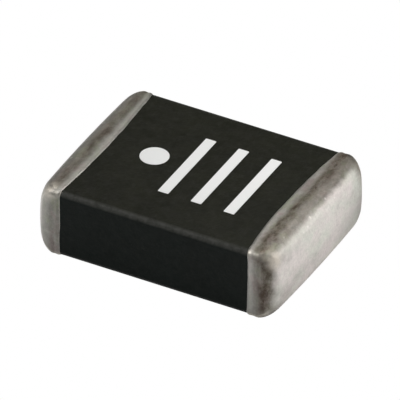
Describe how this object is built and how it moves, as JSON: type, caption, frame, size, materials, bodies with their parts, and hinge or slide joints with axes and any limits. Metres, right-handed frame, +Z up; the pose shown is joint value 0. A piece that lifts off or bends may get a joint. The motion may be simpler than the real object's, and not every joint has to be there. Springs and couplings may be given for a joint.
{
  "type": "smd inductor",
  "caption": "Flat rectangular multilayer chip inductor: a black ferrite block with a buried silver coil and a tinned solder cap wrapped round each end.",
  "frame": {"origin": "middle of the footprint, on the board surface that the two end caps stand on", "axes": "+X along the length from the left cap to the right cap, +Y across the width to the back, +Z up out of the board"},
  "size_m": [0.0032, 0.0024, 0.001],
  "materials": {
    "ferrite": "matte",
    "fired_silver": "matte",
    "nickel": "satin",
    "tin": "satin",
    "coil_silver": "satin",
    "marking_ink": "matte"
  },
  "bodies": {
    "root": {"ferrite_body": "ferrite", "left_silver_base": "fired_silver", "left_nickel_barrier": "nickel", "left_tin_plating": "tin", "right_silver_base": "fired_silver", "right_nickel_barrier": "nickel", "right_tin_plating": "tin", "coil_layer_1": "coil_silver", "coil_layer_2": "coil_silver", "coil_layer_3": "coil_silver", "coil_layer_4": "coil_silver", "coil_layer_5": "coil_silver", "coil_layer_6": "coil_silver", "coil_layer_7": "coil_silver", "coil_layer_8": "coil_silver", "coil_layer_9": "coil_silver"}
  },
  "joints": []
}
